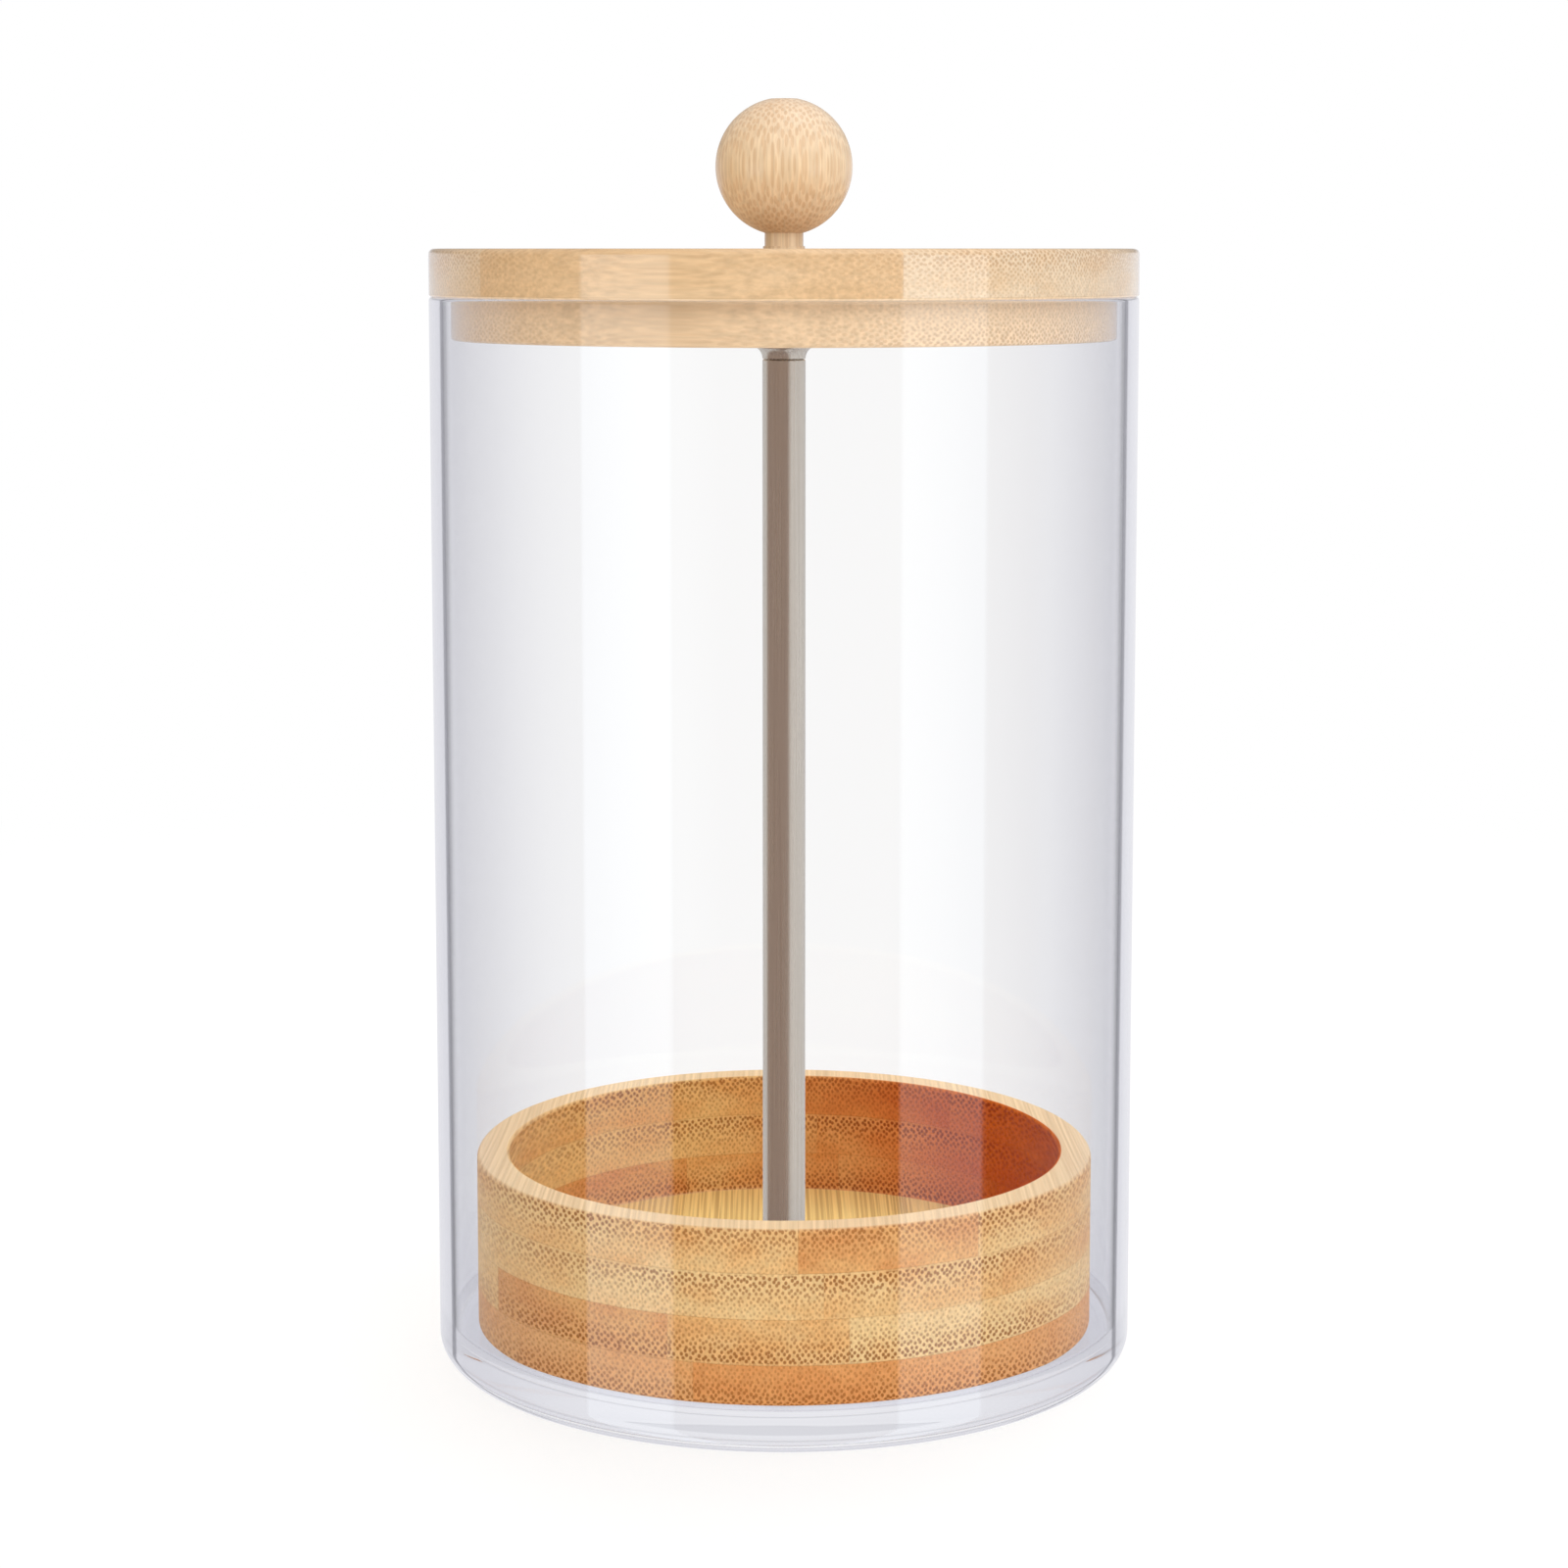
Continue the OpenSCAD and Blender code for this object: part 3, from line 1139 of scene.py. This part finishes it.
@dataclass
class Lid(Assembly):
    """The bamboo lid: a disc on the jar's rim and a plug that drops into its mouth."""

    span: Span = field(default_factory=lambda: Span.of("lid"))
    disc: float = 10.0 * MM
    plug_radius: float = 70.5 * MM
    bolt_hole_radius: float = 2.25 * MM
    upper_edge: float = 1.2 * MM
    lower_edge: float = 0.5 * MM
    plug_edge: float = 0.6 * MM

    def build(self) -> list[Piece]:
        """Turns the lid and settles it.

        Returns:
            The lid.
        """
        span, rim = self.span, self.span.high - self.disc
        section = HalfSection(
            [
                Corner(self.bolt_hole_radius, span.low),
                Corner(self.plug_radius, span.low, self.plug_edge),
                Corner(self.plug_radius, rim),
                Corner(span.radius, rim, self.lower_edge),
                Corner(span.radius, span.high, self.upper_edge),
                Corner(self.bolt_hole_radius, span.high),
            ],
            closed=True,
        )
        piece = self.turn("bamboo_lid", section, LID_BAMBOO)
        return [self.settle(piece, Body.INSERT, Slot.LID, "lid")]


@dataclass
class Knob(Assembly):
    """The ball knob with its short neck, drilled from below for the hanger bolt."""

    span: Span = field(default_factory=lambda: Span.of("knob"))
    neck_radius: float = 4.1 * MM
    neck: float = 3.3 * MM
    bead: float = 0.35 * MM
    bead_height: float = 0.5 * MM
    top_flat_radius: float = 3.0 * MM
    pilot_radius: float = 2.05 * MM
    pilot_depth: float = 18.8 * MM
    arc_step: float = math.radians(2.5)

    def build(self) -> list[Piece]:
        """Turns the knob and settles it.

        Returns:
            The knob.
        """
        span, low, ball = self.span, self.span.low, self.span.radius
        middle = low + self.neck + math.sqrt(ball**2 - self.neck_radius**2)
        pilot_top = low + self.pilot_depth
        under, over = math.acos(self.neck_radius / ball), math.acos(self.top_flat_radius / ball)
        section = HalfSection(
            [
                Corner(0.0, pilot_top),
                Corner(self.pilot_radius, pilot_top),
                Corner(self.pilot_radius, low),
                Corner(self.neck_radius + self.bead, low),
                Corner(self.neck_radius + self.bead, low + self.bead_height),
                Corner(self.neck_radius, low + self.bead_height),
                Arc((0.0, middle), ball, -under, over),
                Corner(0.0, span.high),
            ],
            arc_step=self.arc_step,
        )
        piece = self.turn("bamboo_knob", section, KNOB_BAMBOO)
        return [self.settle(piece, Body.INSERT, Slot.KNOB, "knob")]


@dataclass
class Rod(Assembly):
    """The lift rod, tapped at both ends, and the flared ferrule between it and the lid."""

    rod: Span = field(default_factory=lambda: Span.of("lift_rod"))
    ferrule: Span = field(default_factory=lambda: Span.of("rod_ferrule"))
    chamfer: float = 0.4 * MM
    top_hole_radius: float = 2.05 * MM
    bottom_hole_radius: float = 2.55 * MM
    hole_depth: float = 13.5 * MM
    ferrule_bore_radius: float = 2.25 * MM
    flare: float = 2.2 * MM

    def build(self) -> list[Piece]:
        """Turns the rod and the ferrule and settles them.

        Returns:
            The rod and the ferrule.
        """
        rod = self.turn("steel_rod", self._rod_section(), ROD_STEEL)
        ferrule = self.turn("steel_ferrule", self._ferrule_section(), ROD_STEEL)
        return [
            self.settle(rod, Body.INSERT, Slot.ROD, "lift_rod"),
            self.settle(ferrule, Body.INSERT, Slot.ROD, "rod_ferrule"),
        ]

    def _rod_section(self) -> HalfSection:
        """Draws the rod with its two tapped holes.

        Returns:
            The rod's half-section.
        """
        span, edge = self.rod, self.chamfer
        low_end, high_end = span.low + self.hole_depth, span.high - self.hole_depth
        return HalfSection(
            [
                Corner(0.0, low_end),
                Corner(self.bottom_hole_radius, low_end),
                Corner(self.bottom_hole_radius, span.low),
                Corner(span.radius - edge, span.low),
                Corner(span.radius, span.low + edge),
                Corner(span.radius, span.high - edge),
                Corner(span.radius - edge, span.high),
                Corner(self.top_hole_radius, span.high),
                Corner(self.top_hole_radius, high_end),
                Corner(0.0, high_end),
            ]
        )

    def _ferrule_section(self) -> HalfSection:
        """Draws the ferrule: a hollow curve up from the rod, and a collar over it.

        Returns:
            The ferrule's half-section.
        """
        span, foot = self.ferrule, self.rod.radius
        reach = span.radius - foot
        curve = (self.flare**2 + reach**2) / (2.0 * reach)
        sweep = math.asin(self.flare / curve)
        return HalfSection(
            [
                Corner(self.ferrule_bore_radius, span.low),
                Arc((foot + curve, span.low), curve, math.pi, math.pi - sweep),
                Corner(span.radius, span.high),
                Corner(self.ferrule_bore_radius, span.high),
            ],
            closed=True,
        )


@dataclass
class Cup(Assembly):
    """The bamboo cup that carries the straws, with a socket for the rod and a recess for its screw."""

    span: Span = field(default_factory=lambda: Span.of("lift_cup"))
    wall: float = 7.0 * MM
    floor: float = 10.0 * MM
    edge: float = 0.8 * MM
    socket_radius: float = 4.85 * MM
    socket_depth: float = 2.0 * MM
    recess_radius: float = 6.25 * MM
    recess_depth: float = 4.8 * MM
    screw_hole_radius: float = 2.75 * MM

    def build(self) -> list[Piece]:
        """Turns the cup and settles it.

        Returns:
            The cup.
        """
        span, inner = self.span, self.span.radius - self.wall
        floor_top = span.low + self.floor
        socket_floor = floor_top - self.socket_depth
        recess_top = span.low + self.recess_depth
        section = HalfSection(
            [
                Corner(self.screw_hole_radius, recess_top),
                Corner(self.recess_radius, recess_top),
                Corner(self.recess_radius, span.low),
                Corner(span.radius, span.low, self.edge),
                Corner(span.radius, span.high, self.edge),
                Corner(inner, span.high, self.edge),
                Corner(inner, floor_top, self.edge),
                Corner(self.socket_radius, floor_top),
                Corner(self.socket_radius, socket_floor),
                Corner(self.screw_hole_radius, socket_floor),
            ],
            closed=True,
        )
        piece = self.turn("bamboo_cup", section, CUP_BAMBOO)
        # The glass is too clean to mirror the cup above itself
        piece.visible_glossy = False
        return [self.settle(piece, Body.INSERT, Slot.CUP, "lift_cup")]


@dataclass
class Fasteners(Assembly):
    """The hidden fasteners: the hanger bolt in the knob, and the screw and washer under the cup."""

    bolt: Span = field(default_factory=lambda: Span.of("hanger_bolt"))
    lid: Span = field(default_factory=lambda: Span.of("lid"))
    point_length: float = 4.0 * MM
    point_radius: float = 0.5 * MM
    machine_pitch: float = 0.7 * MM
    machine_depth: float = 0.35 * MM
    wood_pitch: float = 1.6 * MM
    wood_depth: float = 0.5 * MM
    rows_per_pitch: int = 6
    FACETS = 40

    def build(self) -> list[Piece]:
        """Turns the threaded bolt and dresses the screw and the washer.

        Returns:
            The bolt, the screw and the washer.
        """
        span, point = self.bolt, self.bolt.high - self.point_length
        section = HalfSection(
            [
                Corner(0.0, span.low),
                Corner(span.radius, span.low),
                Corner(span.radius, point),
                Corner(self.point_radius, span.high),
                Corner(0.0, span.high),
            ],
            row_step=self.machine_pitch / self.rows_per_pitch,
        )
        bolt = self.turn("hanger_bolt_threaded", section, FASTENER_STEEL)
        for sizes in (
            (self.machine_pitch, self.machine_depth, span.low, self.lid.low),
            (self.wood_pitch, self.wood_depth, self.lid.high + self.wood_pitch, point),
        ):
            THREAD.run(bolt, {**dict(zip(THREAD.SIZES, sizes)), THREAD.FINISH: FASTENER_STEEL.material()})
        self.settle(bolt, Body.INSERT, Slot.FASTENER, "hanger_bolt")
        return [bolt, *self._dress_cad("cup_screw", "cup_washer")]

    @staticmethod
    def _dress_cad(*nodes: str) -> list[Piece]:
        """Gives CAD nodes whose shape is right their finish.

        Args:
            nodes: The nodes' names.

        Returns:
            The nodes.
        """
        pieces = [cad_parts[node] for node in nodes]
        for piece in pieces:
            for place in piece.material_slots:
                place.material = FASTENER_STEEL.material()
        return pieces


@dataclass(frozen=True)
class SoftBox:
    """A studio lamp: an even panel that faces the jar."""

    name: str
    # Degrees to the right of the camera, as seen from above, and degrees over the table
    azimuth: float
    elevation: float
    width: float
    radiance: float
    height: float = 1.6
    distance: float = 2.6
    # Height of the point that it faces
    target: float = 0.12

    def place(self) -> None:
        """Adds the lamp, aimed at the middle of the jar, which shows nowhere itself."""
        panel = bpy.data.lights.new(self.name, "AREA")
        panel.shape = "RECTANGLE"
        panel.size = self.width
        panel.size_y = self.height
        panel.energy = self.radiance * math.pi * panel.size * panel.size_y
        lamp = add_object(self.name, panel)
        azimuth, elevation = math.radians(self.azimuth), math.radians(self.elevation)
        level = math.cos(elevation)
        outward = Vector((math.sin(azimuth) * level, -math.cos(azimuth) * level, math.sin(elevation)))
        lamp.location = outward * self.distance + Vector((0.0, 0.0, self.target))
        lamp.rotation_mode = "QUATERNION"
        lamp.rotation_quaternion = (-outward).to_track_quat("-Z", "Y")
        lamp.visible_camera = False
        lamp.visible_transmission = False
        lamp.visible_glossy = False


@dataclass
class Studio:
    """A white table and room with two soft boxes, a broad light from above and the camera."""

    # Camera, from where the photograph shows the lid, the cup's rim and the jar's foot
    camera_distance: float = 725.7 * MM
    camera_height: float = 237.9 * MM
    camera_pitch: float = math.radians(6.34)
    lens_mm: float = 78.15
    shift_y: float = -0.10
    boxes: tuple[SoftBox, ...] = (
        SoftBox("front_soft_box", azimuth=10.0, elevation=30.0, width=2.4, radiance=1.85),
        SoftBox("back_soft_box", azimuth=172.0, elevation=45.0, width=2.2, radiance=2.5),
    )
    sun_strength: float = 0.7
    sun_angle: float = math.radians(80.0)
    sun_from: Vector = field(default_factory=lambda: Vector((0.45, -0.35, 1.0)))
    # Walls by their turn round the room: front, left, back, right and front again. First as they light it
    lit_walls: Stops = (
        (0.00, "eaeae9"),
        (0.20, "dacbb6"),
        (0.32, "dacbb6"),
        (0.48, "ececec"),
        (0.75, "e9ecf2"),
        (0.90, "e9ecf2"),
        (1.00, "eaeae9"),
    )
    # The same walls as shiny things mirror them out through the glass
    inner_walls: Stops = (
        (0.00, "ae9a8e"),
        (0.27, "ae9a8e"),
        (0.30, "eeeeee"),
        (0.44, "e0e0e2"),
        (0.56, "e0e0e2"),
        (0.68, "f4f4f4"),
        (0.90, "f4f2f0"),
        (0.94, "ae9a8e"),
        (1.00, "ae9a8e"),
    )
    # Rays that crossed fewer faces than this stayed in the glass, in the base or at the wall's edges
    guided_crossings: float = 2.5
    guided_light: str = "ececf1"
    # And as the outside mirrors them: a pale room behind the jar, a dim one with two soft boxes before it
    outer_walls: Stops = (
        (0.000, "3a3836"),
        (0.099, "3a3836"),
        (0.102, "e8f6ff"),
        (0.184, "e8f6ff"),
        (0.187, "3a3836"),
        (0.290, "4a4846"),
        (0.380, "a8a8ac"),
        (0.500, "b9b9bc"),
        (0.580, "b9b9bc"),
        (0.640, "98989c"),
        (0.720, "6a6868"),
        (0.812, "403e3c"),
        (0.815, "e8f6ff"),
        (0.895, "e8f6ff"),
        (0.898, "3a3836"),
        (1.000, "3a3836"),
    )
    outer_gain: float = 1.8
    # Over the boxes, by the sine of the elevation, the room is plain
    boxes_end: tuple[float, float] = (0.04, 0.14)
    upper_walls: str = "9c9a98"
    # How white the camera sees the table: near the jar, and from the far distance on
    table_white: float = 0.76
    table_near: float = 0.2
    table_far: float = 0.75
    # The jar's shade on the table as the base shows it
    shade_near: float = 0.07
    shade_far: float = 0.16
    shade_colour: str = "ececf3"
    table_drop: float = 0.1 * MM
    table_radius: float = 0.8
    table_sides: int = 96
    floor_colour: str = "f6f6f6"

    def build(self) -> None:
        """Adds the floor, the room, the lamps and the camera."""
        self._floor()
        self._room()
        for box in self.boxes:
            box.place()
        self._sun()
        self._camera()
        bpy.context.scene.view_settings.view_transform = "Standard"

    def _floor(self) -> None:
        """Adds the round table top, which glossy rays pass so that the soft boxes show full length."""
        shell = bmesh.new()
        bmesh.ops.create_circle(shell, cap_ends=True, segments=self.table_sides, radius=self.table_radius)
        mesh = bpy.data.meshes.new("table_top")
        shell.to_mesh(mesh)
        shell.free()
        mesh.materials.append(self._paper())
        floor = add_object("table_top", mesh)
        floor.location.z = -self.table_drop
        floor.visible_glossy = False
        floor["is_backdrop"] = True

    def _paper(self) -> bpy.types.Material:
        """Makes the matt paper of the table: white to the camera but for the jar's shadow.

        Returns:
            The material.
        """
        material = bpy.data.materials.new("paper_matt_white")
        add = start_tree(material)
        paper = add("BsdfDiffuse", {"Color": linear(self.floor_colour)})
        path = add("LightPath").outputs
        seen, through = path["Is Camera Ray"], path["Is Transmission Ray"]
        reach = add("VectorMath", (add("TexCoord").outputs["Object"],), operation="LENGTH")
        # Seen through the base, the table under the jar is in its shade
        shade = add("MapRange", (reach, self.shade_near, self.shade_far))
        open_table = add("Math", (shade, seen), operation="MAXIMUM")
        shaded = add("Mix", (open_table, linear(self.shade_colour), WHITE), data_type="RGBA")
        white = add("Emission", {"Color": shaded})
        whiteness = (self.table_near, self.table_far, self.table_white)
        fading = add("MapRange", (reach, *whiteness), interpolation_type="SMOOTHSTEP")
        direct = add("Math", (seen, fading), operation="MULTIPLY")
        share = add("Math", (direct, through), operation="MAXIMUM")
        shown = add("MixShader", (share, paper, white))
        # What is mirrored inside the jar shows the walls of the room, not the table
        passed = add("Math", (through, path["Glossy Depth"]), operation="MULTIPLY", use_clamp=True)
        table = add("MixShader", (passed, shown, add("BsdfTransparent")))
        add("OutputMaterial", {"Surface": table})
        return material

    def _room(self) -> None:
        """Adds the white room: a white background, walls that are warm on the left, and mirrored ones."""
        world = bpy.data.worlds.new("white_room")
        add = start_tree(world)
        place = add("SeparateXYZ", (add("TexCoord").outputs["Generated"],)).outputs
        azimuth = add("Math", (place["X"], place["Y"]), operation="ARCTAN2")
        turn = add("Math", (azimuth, 1.0 / FULL_TURN, 0.5), operation="MULTIPLY_ADD")
        ramps = (self.lit_walls, self.inner_walls, self.outer_walls)
        lit, inner, outer = (add("ValToRGB", (turn,), stops) for stops in ramps)
        bright = add("VectorMath", (outer, self.outer_gain), operation="SCALE")
        over = add("MapRange", (place["Z"], *self.boxes_end))
        mirrored = add("Mix", (over, bright, linear(self.upper_walls)), data_type="RGBA")
        path = add("LightPath").outputs
        through = path["Is Transmission Ray"]
        straight = add("Math", (path["Is Camera Ray"], through), operation="MAXIMUM")
        # A ray that met a shiny face inside the jar and then left through the glass
        bounced = add("Math", (path["Glossy Depth"], 1.0), operation="MINIMUM")
        inside = add("Math", (bounced, through), operation="MULTIPLY")
        # One that stayed in the glass, guided by the base or by a wall seen along its face
        guided = add("Math", (path["Transmission Depth"], self.guided_crossings), operation="LESS_THAN")
        shown = add("Mix", (guided, inner, linear(self.guided_light)), data_type="RGBA")
        # Each kind of ray meets its own walls
        walls = lit
        for share, colour in ((path["Is Glossy Ray"], mirrored), (straight, WHITE), (inside, shown)):
            walls = add("Mix", (share, walls, colour), data_type="RGBA")
        add("OutputWorld", {"Surface": add("Background", {"Color": walls})})
        bpy.context.scene.world = world

    def _sun(self) -> None:
        """Adds the broad light from above, on the right."""
        light = bpy.data.lights.new("ceiling_light", "SUN")
        light.energy = self.sun_strength
        light.angle = self.sun_angle
        lamp = add_object("ceiling_light", light)
        lamp.rotation_mode = "QUATERNION"
        lamp.rotation_quaternion = (-self.sun_from).to_track_quat("-Z", "Y")

    def _camera(self) -> None:
        """Adds the camera at the photograph's viewing angle."""
        lens = bpy.data.cameras.new("portrait_camera")
        lens.lens = self.lens_mm
        lens.shift_y = self.shift_y
        camera = add_object("portrait_camera", lens)
        camera.location = (0.0, -self.camera_distance, self.camera_height)
        camera.rotation_euler = (math.pi / 2.0 - self.camera_pitch, 0.0, 0.0)
        bpy.context.scene.camera = camera


def write_sizes() -> None:
    """Works out the CAD model's box and the visual model's box as plain lists."""
    boxes = {"cad": CAD_BOX, "visual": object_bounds()}
    plain = {name: [list(corner) for corner in box] for name, box in boxes.items()}


def main() -> None:
    """Builds the dispenser and the studio, and reports each piece."""
    logging.basicConfig(level=logging.INFO, format="%(message)s")
    for assembly in (Jar(), Lid(), Knob(), Rod(), Cup(), Fasteners()):
        for piece in assembly.build():
            LOG.info("%s: %s, %d faces", type(assembly).__name__, piece.name, len(piece.data.polygons))
    Studio().build()
    write_sizes()


if __name__ == "__main__":
    main()
